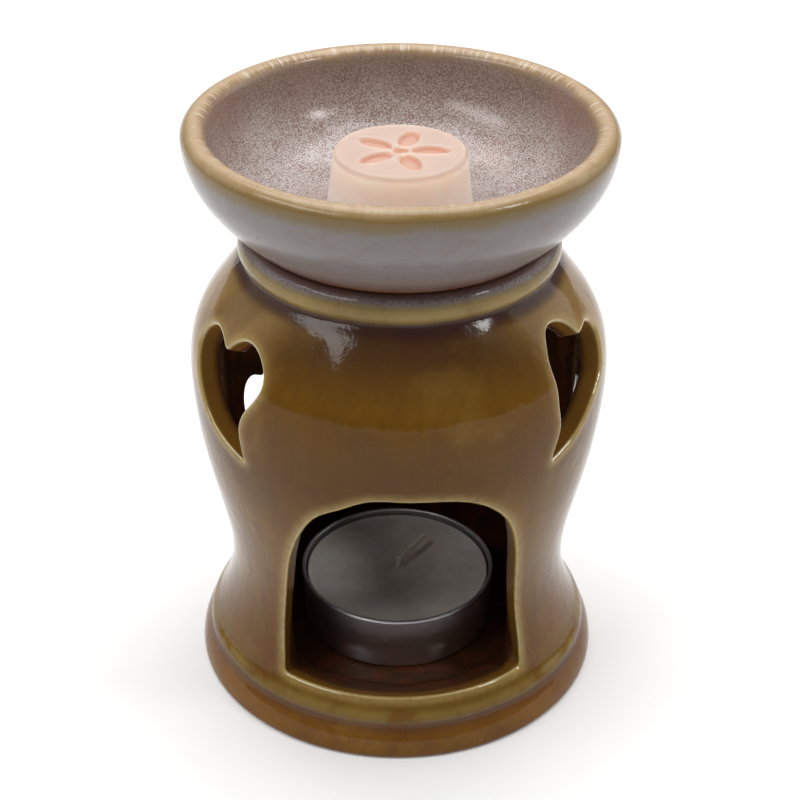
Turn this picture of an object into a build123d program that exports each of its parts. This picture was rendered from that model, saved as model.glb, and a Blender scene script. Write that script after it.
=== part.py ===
"""Ceramic essential oil burner: a tealight stand with a lift-off oil dish.

Millimetres, +Z up. The origin is under the middle of the foot, and the arch mouth faces -Y.
"""
import math
import os

from build123d import *

# Stand foot, from the table up
foot_radius = 39.0
foot_edge_round = 0.7
foot_band_height = 6.0
crease_depth = 2.1
roll_bulge = 0.2
roll_rise = 2.0
roll_inset = 0.8
foot_recess_radius = 31.0
foot_recess_depth = 1.2

# Stand body, a waisted and bellied pot
waist_radius = 32.2
waist_height = 21.2
belly_radius = 38.2
belly_height = 61.2
neck_radius = 27.8
neck_height = 85.7
body_wall = 4.2
floor_height = 4.9
floor_radius = 22.5

# Points of the body's outline, each as a share of the way from one level to the next
cove_shares = (0.50, 0.325)
low_rise_shares = (0.19, 0.30)
high_rise_shares = (0.65, 0.61)
shoulder_shares = (0.058, 0.39)
slope_shares = (0.24, 0.59)
neck_slope_shares = (0.58, 0.80)
foot_tangent_shares = (-0.55, 1.0)
neck_tangent_shares = (-0.85, 0.75)

# Neck bead, and the seat that carries the dish
bead_height = 5.4
bead_bulge = 1.1
seat_inset = 0.9
neck_bore_radius = 22.6
neck_bore_length = 6.4

# Arch mouth, hand cut with sides that lean in and a flattened crown
arch_half_width = 21.5
arch_spring_height = 27.7
arch_crown_rise = 29.1
arch_apex_setback = 40.0
arch_crown_shares = ((0.975, 0.0), (0.95, 0.32), (0.865, 0.61), (0.66, 0.86), (0.35, 0.975), (0.0, 1.0))
sill_height = 10.9
sill_inset = 4.4
sill_slope_share = 0.45

# Rounding that the glaze leaves on the outer edge of every cut-out
cut_edge_round = 0.6

# Heart cut-outs, and their hand-cut outline in shares of half their width and height
heart_width = 21.0
heart_height = 24.0
heart_corner_round = 1.2
heart_rear_shares = (
    (-0.61, -0.96), (-0.24, -0.85), (0.22, -0.63), (0.62, -0.36), (0.98, -0.08), (1.20, 0.18),
    (1.29, 0.47), (1.24, 0.68), (1.07, 0.82), (0.76, 0.80), (0.45, 0.68),
)
heart_front_shares = (
    (0.45, 0.68), (0.36, 0.82), (0.22, 0.98), (-0.09, 1.07), (-0.38, 0.97), (-0.61, 0.73),
    (-0.66, 0.48), (-0.61, 0.19), (-0.51, -0.11), (-0.47, -0.40), (-0.50, -0.67), (-0.61, -0.96),
)
front_heart_angle = 54.0
front_heart_height = 69.2
front_heart_lean = 0.0
front_heart_aim_drop = 11.5
rear_heart_angle = 126.0
rear_heart_height = 40.2
rear_heart_lean = -31.0
rear_heart_aim_drop = 0.0

# Oil dish
dish_radius = 37.8
dish_height = 19.9
dish_foot_inset = 0.5
dish_floor = 3.0
dish_floor_radius = 15.0
lip_thickness = 4.5
lip_round_height = 1.7
spigot_clearance = 0.5
spigot_depth = 3.0
spigot_wall = 3.0
dish_low_shares = (0.51, 0.297)
dish_high_shares = (0.912, 0.695)
dish_foot_tangent_shares = (0.80, 0.62)
bowl_low_shares = (0.60, 0.21)
bowl_high_shares = (0.885, 0.58)
bowl_lip_tangent_shares = (0.22, 1.0)

# Tealight
cup_radius = 18.6
cup_height = 11.8
cup_wall = 0.35
cup_draft = 0.4
cup_rim_bead = 0.4
cup_foot_round = 0.8
wax_fill_gap = 1.0
wax_clearance = 0.05
tealight_setback = 0.7
sustainer_radius = 8.0
sustainer_thickness = 0.3
sustainer_neck_radius = 1.3
sustainer_neck_height = 4.0
wick_radius = 0.6
wick_clearance = 0.08
wick_bend_radius = 1.1
wick_stand = 1.7
wick_reach = 9.0
wick_rise = 0.5
wick_heading = 52.0

# Wax melt
melt_base_radius = 13.0
melt_top_radius = 11.6
melt_height = 11.0
melt_top_round = 1.3
melt_base_round = 0.6
petal_count = 5
petal_length = 6.4
petal_width = 3.4
petal_distance = 5.2
petal_depth = 0.8
bud_radius = 1.3

# One overrun serves every cut
cut_overrun = 8.0

# Levels worked out from the sizes above
sill_radius = foot_radius - sill_inset
seat_height = neck_height + bead_height
seat_radius = neck_radius - seat_inset
spigot_radius = neck_bore_radius - spigot_clearance
rim_height = seat_height + dish_height
lip_base_height = rim_height - lip_round_height
bowl_floor_height = seat_height + dish_floor
cup_floor_height = floor_height + cup_wall
cup_bore_radius = cup_radius - cup_wall
wax_top_height = floor_height + cup_height - wax_fill_gap


def part_way(start, end, shares):
    """A point between two profile points, by its share of the radius and of the height."""
    radius = start[0] + (end[0] - start[0]) * shares[0]
    height = start[1] + (end[1] - start[1]) * shares[1]
    return (radius, height)


def turned(edges):
    """A solid turned about Z from a closed outline of radius and height."""
    face = make_face(Plane.XZ * Curve(edges))
    return revolve(face, Axis.Z)


def body_points():
    """The points that the stand's outer curve runs through, from the foot roll to the neck bead."""
    crease = foot_radius - crease_depth
    foot = (crease - roll_inset, foot_band_height + roll_rise)
    waist = (waist_radius, waist_height)
    belly = (belly_radius, belly_height)
    neck = (neck_radius, neck_height)
    return [
        foot,
        part_way(foot, waist, cove_shares),
        waist,
        part_way(waist, belly, low_rise_shares),
        part_way(waist, belly, high_rise_shares),
        belly,
        part_way(belly, neck, shoulder_shares),
        part_way(belly, neck, slope_shares),
        part_way(belly, neck, neck_slope_shares),
        neck,
    ]


def body_outline():
    """The stand's outer curve, from the top of the foot roll to the crevice under the neck bead."""
    return Spline(body_points(), tangents=[foot_tangent_shares, neck_tangent_shares])


def chamber_outline(outer):
    """The tealight chamber's wall: the floor's edge, then one wall inside the body from the waist up."""
    points = [(floor_radius, floor_height)]
    for place in body_points()[2:]:
        along = outer.tangent_at(outer.param_at_point(place))
        points.append((place[0] - along.Y * body_wall, place[1] + along.X * body_wall))
    return Spline(points, tangents=[(1, 0), neck_tangent_shares])


def stand_shell():
    """The turned pot: foot band, roll, body, neck bead, seat, neck bore, chamber and foot recess."""
    crease = (foot_radius - crease_depth, foot_band_height)
    outer = body_outline()
    inner = chamber_outline(outer)
    foot_ring = (foot_radius - foot_edge_round, 0)
    foot_edge = (foot_radius, foot_edge_round)
    band_middle = (foot_radius - crease_depth / 4, (foot_edge_round + foot_band_height) / 2)
    roll_middle = (crease[0] + roll_bulge, foot_band_height + roll_rise / 3)
    bead_middle = (neck_radius + bead_bulge, neck_height + bead_height / 2)
    seat_edge = (seat_radius, seat_height)
    bore_top = (neck_bore_radius, seat_height)
    bore_foot = (neck_bore_radius, seat_height - neck_bore_length)
    floor_edge = (floor_radius, floor_height)
    edges = [
        Line((foot_recess_radius, 0), foot_ring),
        RadiusArc(foot_ring, foot_edge, -foot_edge_round),
        ThreePointArc(foot_edge, band_middle, crease),
        ThreePointArc(crease, roll_middle, outer @ 0),
        outer,
        ThreePointArc(outer @ 1, bead_middle, seat_edge),
        Line(seat_edge, bore_top),
        Line(bore_top, bore_foot),
        Line(bore_foot, inner @ 1),
        inner,
        Line(floor_edge, (0, floor_height)),
        Line((0, floor_height), (0, foot_recess_depth)),
        Line((0, foot_recess_depth), (foot_recess_radius, foot_recess_depth)),
        Line((foot_recess_radius, foot_recess_depth), (foot_recess_radius, 0)),
    ]
    return turned(edges)


def arch_face_distance():
    """How far in front of the axis the arch's sides meet the outside of the waist."""
    return math.sqrt(waist_radius**2 - arch_half_width**2)


def sill_at(radius):
    """The height of the sloping sill at a radius."""
    return sill_height - (sill_radius - radius) * sill_slope_share


def arch_section(distance):
    """The arch's outline on a plane at a distance in front of the axis."""
    spread = (distance + arch_apex_setback) / (arch_face_distance() + arch_apex_setback)
    half_width = arch_half_width * spread
    base = sill_at(floor_radius)
    crown = [
        (half_width * across, arch_spring_height + arch_crown_rise * up) for across, up in arch_crown_shares
    ]
    crown += [(-x, z) for x, z in reversed(crown[:-1])]
    edges = [
        Line((-half_width, base), (half_width, base)),
        Line((half_width, base), crown[0]),
        Spline(crown),
        Line(crown[-1], (-half_width, base)),
    ]
    return Plane.XZ.offset(distance) * make_face(Curve(edges))


def arch_cutter():
    """The arch mouth: a wedge that narrows inwards, over a sill that slopes down into the chamber."""
    far = belly_radius + cut_overrun
    near = arch_face_distance() - cut_overrun
    wedge = loft([arch_section(far), arch_section(near)], ruled=True)
    ledge = [
        (floor_radius, 0),
        (far * 2, 0),
        (far * 2, sill_at(far * 2)),
        (floor_radius, sill_at(floor_radius)),
    ]
    return wedge - turned([Polyline(ledge, close=True)])


def heart_outline(size, lean):
    """A hand-cut heart about its own middle, with its tip and notch eased by the glaze."""
    half_width = heart_width / 2 * size
    half_height = heart_height / 2 * size
    sides = [
        Spline([(half_width * across, half_height * up) for across, up in shares])
        for shares in (heart_rear_shares, heart_front_shares)
    ]
    heart = make_face(Curve(sides))
    heart = fillet(heart.vertices(), heart_corner_round * size)
    return Rot(0, 0, -lean) * heart


def heart_cutter(angle, height, lean, aim_drop):
    """One heart cut that narrows towards the axis, as a knife held square to the wall leaves it."""
    turn = math.radians(angle)
    outwards = Vector(math.sin(turn), -math.cos(turn), 0)
    backwards = Vector(math.cos(turn), math.sin(turn), 0)
    centre = outwards * belly_radius + Vector(0, 0, height)
    aim = Vector(0, 0, height - aim_drop)
    depth = (centre - aim).length
    plane = Plane(origin=centre, x_dir=backwards, z_dir=centre - aim)
    near = cut_overrun
    far = depth + cut_overrun
    sections = [
        plane.offset(distance - depth) * heart_outline(distance / depth, lean)
        for distance in (near, far)
    ]
    return loft(sections, ruled=True)


def burner_stand():
    """The glazed pot with its arch mouth and two pairs of heart cut-outs."""
    stand = stand_shell() - arch_cutter()
    hearts = [
        heart_cutter(front_heart_angle, front_heart_height, front_heart_lean, front_heart_aim_drop),
        heart_cutter(rear_heart_angle, rear_heart_height, rear_heart_lean, rear_heart_aim_drop),
    ]
    for heart in hearts:
        stand = stand - heart - mirror(heart, Plane.YZ)
    skin = stand.faces().sort_by(SortBy.AREA)[-1]
    cut_edges = [edge for loop in skin.inner_wires() for edge in loop.edges()]
    return fillet(cut_edges, cut_edge_round)


def oil_dish():
    """The shallow bowl: spigot in the neck, flared wall and rounded lip."""
    foot = (seat_radius - dish_foot_inset, seat_height)
    lip_outer = (dish_radius, lip_base_height)
    lip_inner = (dish_radius - lip_thickness, lip_base_height)
    lip_top = (dish_radius - lip_thickness / 2, rim_height)
    floor_edge = (dish_floor_radius, bowl_floor_height)
    spigot_inner = spigot_radius - spigot_wall
    spigot_foot = seat_height - spigot_depth
    outside = Spline(
        [
            foot,
            part_way(foot, lip_outer, dish_low_shares),
            part_way(foot, lip_outer, dish_high_shares),
            lip_outer,
        ],
        tangents=[dish_foot_tangent_shares, (0, 1)],
    )
    inside = Spline(
        [
            floor_edge,
            part_way(floor_edge, lip_inner, bowl_low_shares),
            part_way(floor_edge, lip_inner, bowl_high_shares),
            lip_inner,
        ],
        tangents=[(1, 0), bowl_lip_tangent_shares],
    )
    underside = [
        (0, bowl_floor_height),
        (0, seat_height),
        (spigot_inner, seat_height),
        (spigot_inner, spigot_foot),
        (spigot_radius, spigot_foot),
        (spigot_radius, seat_height),
        foot,
    ]
    edges = [
        Polyline(underside),
        outside,
        ThreePointArc(lip_outer, lip_top, lip_inner),
        inside,
        Line(floor_edge, (0, bowl_floor_height)),
    ]
    return turned(edges)


def at_tealight(solid):
    """Moves a piece from the axis to the tealight's place on the chamber floor."""
    return Pos(0, -tealight_setback, 0) * solid


def tealight_cup():
    """The drawn cup: tapered wall, rounded foot and a rolled rim."""
    foot_outer = cup_radius - cup_draft
    rim_middle = floor_height + cup_height - cup_rim_bead
    base_edge = (foot_outer - cup_foot_round, floor_height)
    wall_foot = (foot_outer, floor_height + cup_foot_round)
    edges = [
        Line((0, floor_height), base_edge),
        RadiusArc(base_edge, wall_foot, -cup_foot_round),
        Polyline(
            [
                wall_foot,
                (cup_radius, rim_middle),
                (cup_bore_radius, rim_middle),
                (foot_outer - cup_wall, wall_foot[1]),
            ]
        ),
        RadiusArc(
            (foot_outer - cup_wall, wall_foot[1]),
            (base_edge[0], cup_floor_height),
            cup_foot_round - cup_wall,
        ),
        Polyline([(base_edge[0], cup_floor_height), (0, cup_floor_height), (0, floor_height)]),
    ]
    rim = Pos(0, 0, rim_middle) * Torus(cup_radius, cup_rim_bead)
    return at_tealight(turned(edges) + rim)


def wick_path(start_height):
    """The wick's middle line: up through the wax, then bent over above it."""
    heading = math.radians(wick_heading)
    bend = (0, 0, wax_top_height + wick_stand)
    end = (wick_reach * math.cos(heading), wick_reach * math.sin(heading), bend[2] + wick_rise)
    return FilletPolyline((0, 0, start_height), bend, end, radius=wick_bend_radius)


def wick():
    """The waxed wick, standing on the cup floor inside the sustainer's neck."""
    start_height = cup_floor_height + sustainer_thickness
    path = wick_path(start_height)
    section = Plane(origin=(0, 0, start_height)) * Circle(wick_radius)
    return at_tealight(sweep(section, path=path))


def wick_sustainer():
    """The tinplate tab: a disc on the cup floor with a short neck round the wick."""
    neck_bore = wick_radius + wick_clearance
    disc_top = cup_floor_height + sustainer_thickness
    neck_top = disc_top + sustainer_neck_height
    outline = [
        (0, cup_floor_height),
        (sustainer_radius, cup_floor_height),
        (sustainer_radius, disc_top),
        (sustainer_neck_radius, disc_top),
        (sustainer_neck_radius, neck_top),
        (neck_bore, neck_top),
        (neck_bore, disc_top),
        (0, disc_top),
    ]
    return at_tealight(turned([Polyline(outline, close=True)]))


def tealight_wax():
    """The wax disc, cast round the sustainer and the wick."""
    disc_top = cup_floor_height + sustainer_thickness + wax_clearance
    neck_top = disc_top + sustainer_neck_height
    disc_bore = sustainer_radius + wax_clearance
    neck_bore = sustainer_neck_radius + wax_clearance
    wick_bore = wick_radius + wick_clearance
    foot_radius_inside = cup_radius - cup_draft - cup_foot_round - wax_clearance
    wall_foot = floor_height + cup_foot_round
    wall_foot_radius = cup_bore_radius - cup_draft - wax_clearance
    outline = [
        (disc_bore, cup_floor_height),
        (foot_radius_inside, cup_floor_height),
        (wall_foot_radius, wall_foot),
        (cup_bore_radius - cup_rim_bead, wax_top_height),
        (wick_bore, wax_top_height),
        (wick_bore, neck_top),
        (neck_bore, neck_top),
        (neck_bore, disc_top),
        (disc_bore, disc_top),
    ]
    return at_tealight(turned([Polyline(outline, close=True)]))


def wax_melt():
    """The moulded wax melt: a tapered puck with a five-petal rosette pressed into its top."""
    top_height = bowl_floor_height + melt_height
    outline = [
        (0, bowl_floor_height),
        (melt_base_radius, bowl_floor_height),
        (melt_top_radius, top_height),
        (0, top_height),
    ]
    melt = turned([Polyline(outline, close=True)])
    rims = melt.edges().filter_by(GeomType.CIRCLE).sort_by(Axis.Z)
    melt = fillet(rims[-1], melt_top_round)
    rims = melt.edges().filter_by(GeomType.CIRCLE).sort_by(Axis.Z)
    melt = fillet(rims[0], melt_base_round)
    petals = PolarLocations(petal_distance, petal_count) * Ellipse(petal_length / 2, petal_width / 2)
    rosette = Sketch() + petals + Circle(bud_radius)
    press = extrude(Pos(0, 0, top_height) * rosette, -petal_depth)
    return melt - press


def main():
    """Builds every piece and writes one STEP file for each."""
    os.makedirs("parts", exist_ok=True)
    pieces = [burner_stand, oil_dish, tealight_cup, tealight_wax, wick, wick_sustainer, wax_melt]
    for piece in pieces:
        export_step(piece(), os.path.join("parts", piece.__name__ + ".step"))


main()
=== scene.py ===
"""Glazed oil burner: the looks of the stand, its dish, tealight and wax melt, round the CAD frame."""
import math

import bpy
import numpy as np
from bpy.props import FloatProperty, FloatVectorProperty, IntProperty, PointerProperty
from mathutils import Matrix, Vector
from mathutils.kdtree import KDTree


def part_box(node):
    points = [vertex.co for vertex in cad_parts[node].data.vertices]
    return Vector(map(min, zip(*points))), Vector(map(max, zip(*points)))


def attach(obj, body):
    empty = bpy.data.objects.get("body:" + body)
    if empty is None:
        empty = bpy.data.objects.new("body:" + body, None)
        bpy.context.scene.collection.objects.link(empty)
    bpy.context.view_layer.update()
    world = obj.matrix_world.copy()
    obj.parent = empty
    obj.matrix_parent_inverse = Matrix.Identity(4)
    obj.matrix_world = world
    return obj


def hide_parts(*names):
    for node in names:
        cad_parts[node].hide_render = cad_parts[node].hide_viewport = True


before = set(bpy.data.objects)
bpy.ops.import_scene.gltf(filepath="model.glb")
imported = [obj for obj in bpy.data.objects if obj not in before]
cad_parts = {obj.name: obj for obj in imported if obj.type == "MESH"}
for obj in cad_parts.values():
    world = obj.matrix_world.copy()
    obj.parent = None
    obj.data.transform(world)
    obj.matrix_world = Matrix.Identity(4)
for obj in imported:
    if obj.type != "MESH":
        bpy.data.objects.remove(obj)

bl_info = {
    "name": "Oil burner",
    "version": (1, 0, 0),
    "blender": (4, 5, 0),
    "location": "View3D > Sidebar > Oil burner",
    "description": "Models a glazed oil burner with its dish, tealight and wax melt round a CAD frame",
    "category": "Object",
}

MM = 0.001
TURN = 2 * math.pi

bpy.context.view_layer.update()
STAND_LOW, STAND_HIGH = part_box("burner_stand")
DISH_LOW, DISH_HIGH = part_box("oil_dish")
CUP_LOW, CUP_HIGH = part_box("tealight_cup")
WAX_LOW, WAX_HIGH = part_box("tealight_wax")
WICK_LOW, WICK_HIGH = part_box("wick")
MELT_LOW, MELT_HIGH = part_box("wax_melt")
CUP_MIDDLE = (CUP_LOW + CUP_HIGH) / 2

# Points of the stand's outer curve, as shares of the way from one level to the next
COVE_SHARES = (0.50, 0.325)
LOW_RISE_SHARES = (0.19, 0.30)
HIGH_RISE_SHARES = (0.65, 0.61)
SHOULDER_SHARES = (0.058, 0.39)
SLOPE_SHARES = (0.24, 0.59)
NECK_SLOPE_SHARES = (0.58, 0.80)
FOOT_DIRECTION = (-0.55, 1.0)
NECK_DIRECTION = (-0.85, 0.75)

# Points of the dish's two curves, as shares of the way from its foot or floor to its lip
DISH_LOW_SHARES = (0.51, 0.297)
DISH_HIGH_SHARES = (0.912, 0.695)
DISH_FOOT_DIRECTION = (0.80, 0.62)
BOWL_LOW_SHARES = (0.60, 0.21)
BOWL_HIGH_SHARES = (0.885, 0.58)
BOWL_LIP_DIRECTION = (0.22, 1.0)

# The mouth's hand-cut edge from its left foot over the crown, in shares of its half width and height
ARCH_SHARES = [
    (-1.02, 0.00), (-1.015, 0.18), (-0.985, 0.39), (-0.945, 0.58), (-0.855, 0.75), (-0.73, 0.868),
    (-0.52, 0.94), (-0.335, 0.99), (0.00, 1.00), (0.325, 0.993), (0.555, 0.965), (0.745, 0.90),
    (0.885, 0.795), (0.955, 0.65), (0.98, 0.445), (1.005, 0.24), (1.055, 0.00),
]

# The hand-cut hearts from notch to notch, in shares of half their width and height, towards the back first
LEFT_HEART_SHARES = [
    (0.31, 0.62), (0.56, 0.76), (0.99, 0.83), (1.27, 0.64), (1.32, 0.40), (1.22, 0.12), (1.01, -0.21),
    (0.71, -0.52), (0.18, -0.82), (-0.50, -1.02), (-0.42, -0.66), (-0.39, -0.41), (-0.49, -0.11),
    (-0.71, 0.20), (-0.79, 0.54), (-0.64, 0.75), (-0.36, 0.91), (-0.08, 0.93), (0.18, 0.78), (0.31, 0.62),
]
RIGHT_HEART_SHARES = [
    (0.59, 0.76), (0.79, 0.80), (1.00, 0.84), (1.19, 0.77), (1.28, 0.59), (1.22, 0.32), (1.09, 0.03),
    (0.72, -0.23), (0.31, -0.50), (-0.15, -0.75), (-0.75, -0.94), (-0.66, -0.66), (-0.54, -0.38),
    (-0.55, 0.00), (-0.52, 0.31), (-0.51, 0.69), (-0.39, 0.95), (-0.19, 1.18), (0.12, 1.18),
    (0.43, 0.99), (0.59, 0.76),
]
REAR_HEART_SHARES = [
    (0.45, 0.68), (0.76, 0.80), (1.07, 0.82), (1.24, 0.68), (1.29, 0.47), (1.20, 0.18), (0.98, -0.08),
    (0.62, -0.36), (0.22, -0.63), (-0.24, -0.85), (-0.61, -0.96), (-0.50, -0.67), (-0.47, -0.40),
    (-0.51, -0.11), (-0.61, 0.19), (-0.66, 0.48), (-0.61, 0.73), (-0.38, 0.97), (-0.09, 1.07), (0.22, 0.98),
    (0.45, 0.68),
]

# How far round the eased edge of a cut each ring lies, in degrees, and how thin the glaze is there
EASED_EDGE = [
    (6, 0.45), (16, 0.55), (26, 0.75), (36, 0.95), (46, 1.0),
    (56, 0.9), (66, 0.5), (76, 0.2), (84, 0.05), (90, 0.0),
]
INNER_EASED_EDGE = [90, 70, 50, 30, 12]


def length(name, description, default):
    """A size in metres that a user can change."""
    return FloatProperty(
        name=name, description=description, default=default, min=0, unit="LENGTH", precision=5
    )


def angle(name, description, degrees):
    """An angle that a user can change."""
    return FloatProperty(name=name, description=description, default=math.radians(degrees), subtype="ANGLE")


def colour(name, description, default):
    """A linear colour that a user can change."""
    return FloatVectorProperty(
        name=name, description=description, default=default, size=3, min=0, max=1, subtype="COLOR"
    )


class StandSettings(bpy.types.PropertyGroup):
    """Sizes and glaze colours of the stand, with painted shade and painted light among the colours."""

    foot_radius: length("Foot radius", "Radius of the foot band", STAND_HIGH[0])
    foot_edge_round: length("Foot edge round", "Rounding at the table", 0.7 * MM)
    foot_band_height: length("Foot band height", "Height of the crease above the foot band", 6.2 * MM)
    crease_ease: length("Crease ease", "How far the glaze rounds the crease", 0.5 * MM)
    crease_depth: length("Crease depth", "How far the crease is cut in", 2.1 * MM)
    roll_bulge: length("Roll bulge", "How far the roll above the crease stands out", 0.2 * MM)
    roll_rise: length("Roll rise", "Height of the roll", 2.0 * MM)
    roll_inset: length("Roll inset", "How far the body starts inside the crease", 0.8 * MM)
    recess_radius: length("Recess radius", "Radius of the recess under the foot", 31.0 * MM)
    recess_depth: length("Recess depth", "Depth of the recess under the foot", 1.2 * MM)
    recess_ease: length("Recess ease", "Slant of the recess's wall and lip", 0.3 * MM)
    waist_radius: length("Waist radius", "Radius of the waist", 32.2 * MM)
    waist_height: length("Waist height", "Height of the waist", 21.2 * MM)
    belly_radius: length("Belly radius", "Largest radius of the body", 38.2 * MM)
    belly_height: length("Belly height", "Height of the widest part of the body", 61.2 * MM)
    neck_radius: length("Neck radius", "Radius of the crevice under the neck bead", 27.8 * MM)
    neck_height: length("Neck height", "Height of the crevice under the neck bead", 85.7 * MM)
    wall: length("Wall", "Thickness of the body", 4.2 * MM)
    floor_radius: length("Floor radius", "Flat part of the chamber floor", 22.5 * MM)
    bead_bulge: length("Bead bulge", "How far the neck bead stands out", 1.1 * MM)
    seat_inset: length("Seat inset", "How far the dish seat lies inside the neck", 0.9 * MM)
    bore_radius: length("Bore radius", "Radius of the opening in the neck", 22.6 * MM)
    bore_length: length("Bore length", "Length of the opening in the neck", 6.4 * MM)
    arch_half_width: length("Arch half width", "Half the width of the mouth near the waist", 21.5 * MM)
    arch_crown_height: length("Arch crown height", "Height of the top of the mouth", 57.0 * MM)
    arch_setback: length("Arch setback", "How far behind the axis the sides of the mouth meet", 40.0 * MM)
    sill_height: length("Sill height", "Height of the sill at its radius", 10.9 * MM)
    sill_radius: length("Sill radius", "Radius at which the sill has its height", 34.6 * MM)
    sill_slope: FloatProperty(name="Sill slope", description="Fall of the sill going inwards", default=0.45)
    heart_width: length("Heart width", "Width of a heart that its outline's shares are of", 21.0 * MM)
    heart_height: length("Heart height", "Height of a heart that its outline's shares are of", 24.0 * MM)
    edge_round: length("Edge round", "Rounding of the glaze at the outer edge of each cut", 0.85 * MM)
    break_reach: length("Break reach", "How far the glaze thins past the edge of each cut", 0.9 * MM)
    front_heart_angle: angle("Front heart angle", "Turn of the front hearts from the mouth", 54)
    front_heart_height: length("Front heart height", "Height of the front hearts", 69.2 * MM)
    front_heart_aim_drop: length("Front heart aim drop", "How far down a front heart is aimed", 11.5 * MM)
    rear_heart_angle: angle("Rear heart angle", "Turn of the rear hearts from the mouth", 126)
    rear_heart_height: length("Rear heart height", "Height of the rear hearts", 40.2 * MM)
    rear_heart_lean: angle("Rear heart lean", "Lean of the rear hearts from the front ones", -31)
    steps: IntProperty(name="Steps", description="Steps round the axis", default=240, min=24)
    deep: colour("Deep amber", "Glaze where it lies thick", (0.085, 0.036, 0.008))
    honey: colour("Honey", "Glaze where it lies thin", (0.290, 0.165, 0.030))
    olive: colour("Olive", "Glaze where it breaks on edges", (0.470, 0.342, 0.116))
    cut_face: colour("Cut face", "Glaze on the cut through the wall", (0.190, 0.086, 0.014))
    # Painted shade: inside the chamber the amber is darkened to these two tones; the reddish pools among them
    # are real.
    inside: colour("Inside", "Glaze inside the chamber", (0.060, 0.026, 0.010))
    pooled: colour("Pooled", "Reddish glaze pooled inside", (0.110, 0.030, 0.012))
    # Painted shade: maroon stands for the shade under the dish on the front of the shoulder.
    painted_shade_maroon: colour("Maroon", "Glaze pooled on the shoulder above the mouth", (0.045, 0.014, 0.010))
    # Painted light: the paler flank stands for light from the sides on the shoulder.
    painted_light_flank: colour("Flank", "Paler glaze on the sides of the shoulder", (0.340, 0.205, 0.070))
    crust: colour("Crust", "Brown flecks on top of the neck bead", (0.150, 0.095, 0.080))
    rust: colour("Rust", "Redder patches near the foot", (0.150, 0.048, 0.008))
    crevice: colour("Crevice", "Glaze in pinholes", (0.060, 0.026, 0.014))


class DishSettings(bpy.types.PropertyGroup):
    """Sizes and glaze colours of the dish, with painted glints among the colours."""

    radius: length("Radius", "Radius of the lip", DISH_HIGH[0])
    seat_height: length("Seat height", "Height of the seat on the neck", STAND_HIGH[2])
    foot_radius: length("Foot radius", "Radius of the dish where it meets the seat", 26.4 * MM)
    floor: length("Floor", "Thickness of the floor", 3.0 * MM)
    floor_radius: length("Floor radius", "Flat part of the floor", 15.0 * MM)
    lip_thickness: length("Lip thickness", "Thickness of the lip", 4.5 * MM)
    lip_round: length("Lip round", "Height of the rounding on the lip", 1.7 * MM)
    spigot_radius: length("Spigot radius", "Radius of the spigot in the neck", 22.1 * MM)
    spigot_wall: length("Spigot wall", "Thickness of the spigot", 3.0 * MM)
    steps: IntProperty(name="Steps", description="Steps round the axis", default=256, min=24)
    grain: colour("Grain", "Pale grains inside the bowl", (0.485, 0.446, 0.430))
    haze: colour("Haze", "Duller grains high on the bowl's wall", (0.330, 0.258, 0.222))
    worn: colour("Worn", "Greyer grains on the bowl's floor", (0.360, 0.300, 0.285))
    milk: colour("Milk", "Milky glaze outside the bowl", (0.244, 0.230, 0.228))
    mauve: colour("Mauve", "Browner patches outside the bowl", (0.205, 0.142, 0.122))
    blush: colour("Blush", "Reddish patches inside the bowl", (0.300, 0.165, 0.145))
    # Partly painted highlight: the pale rivulets are runs of glaze and also painted glints along the lip's
    # top.
    rivulet_and_glint: colour("Rivulet", "Pale runs of glaze on the lip's inner edge", (0.560, 0.460, 0.360))
    spot: colour("Spot", "Dark spots of iron", (0.110, 0.062, 0.050))


class TealightSettings(bpy.types.PropertyGroup):
    """Sizes and colours of the tealight."""

    rim_bead: length("Rim bead", "Radius of the rolled rim", 0.4 * MM)
    wall: length("Wall", "Thickness of the cup", 0.35 * MM)
    draft: length("Draft", "How much narrower the cup is at its foot", 0.4 * MM)
    foot_round: length("Foot round", "Rounding at the foot of the cup", 0.8 * MM)
    wick_radius: length("Wick radius", "Radius of the wick", 0.6 * MM)
    wick_stand: length("Wick stand", "How high the wick stands before it bends", 1.7 * MM)
    wick_reach: length("Wick reach", "Length of the bent part of the wick", 9.0 * MM)
    wick_rise: length("Wick rise", "Rise of the bent part of the wick", 0.5 * MM)
    wick_bend: length("Wick bend", "Radius of the bend", 1.1 * MM)
    wick_heading: angle("Wick heading", "Direction in which the wick is bent", 52)
    wick_strands: IntProperty(name="Wick strands", description="Strands in the wick", default=3, min=2)
    wick_twist: length("Wick twist", "Length of one turn of the twist", 3.4 * MM)
    wick_fray: length("Wick fray", "Length over which the wick's end spreads", 0.9 * MM)
    wax_dip: length("Wax dip", "How far the wax sinks between the cup and the wick", 0.35 * MM)
    steps: IntProperty(name="Steps", description="Steps round the cup", default=144, min=24)


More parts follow.
